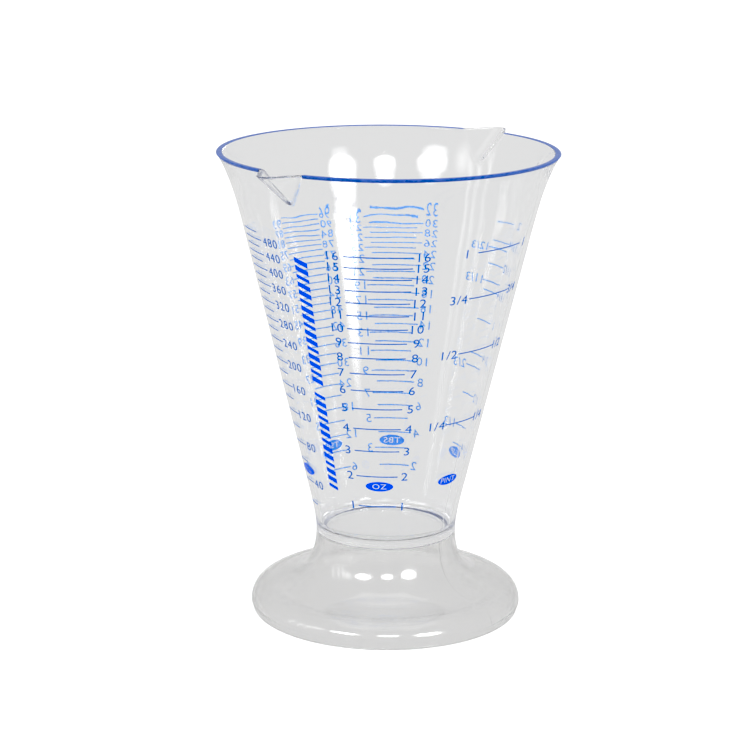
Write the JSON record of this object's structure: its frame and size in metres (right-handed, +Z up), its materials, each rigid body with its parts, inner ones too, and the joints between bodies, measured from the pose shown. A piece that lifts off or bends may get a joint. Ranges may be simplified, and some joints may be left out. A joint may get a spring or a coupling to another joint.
{
  "type": "graduated measuring cup",
  "caption": "Clear tapered measuring cup with a flared rim, opposite pouring lips and printed volume scales, standing on a hollow bell foot.",
  "frame": {"origin": "on the cup's axis, on the surface that the foot stands on", "axes": "+Z up along the cup's axis; -Y is the front, which the ounce scale faces; +X to the right of the front"},
  "size_m": [0.122, 0.122, 0.17],
  "materials": {
    "clear_plastic": "polished transparent moulding",
    "foot_plastic": "transparent moulding with a light haze",
    "blue_ink": "printed ink",
    "rim_ink": "hot-stamped band"
  },
  "bodies": {
    "root": {"measuring_cone": "clear_plastic", "bell_foot": "foot_plastic", "rim_band_left": "rim_ink", "rim_band_right": "rim_ink", "ounce_line_01": "blue_ink", "ounce_line_02": "blue_ink", "ounce_line_03": "blue_ink", "ounce_line_04": "blue_ink", "ounce_line_05": "blue_ink", "ounce_line_06": "blue_ink", "ounce_line_07": "blue_ink", "ounce_line_08": "blue_ink", "ounce_line_09": "blue_ink", "ounce_line_10": "blue_ink", "ounce_line_11": "blue_ink", "ounce_line_12": "blue_ink", "ounce_line_13": "blue_ink", "ounce_line_14": "blue_ink", "ounce_line_15": "blue_ink", "ounce_line_16": "blue_ink", "pint_line_1": "blue_ink", "pint_line_2": "blue_ink", "pint_line_3": "blue_ink", "pint_line_4": "blue_ink", "badge_oz": "blue_ink", "badge_pint": "blue_ink", "badge_cup": "blue_ink", "badge_tbs": "blue_ink", "badge_tsp": "blue_ink", "badge_ml": "blue_ink"}
  },
  "joints": []
}
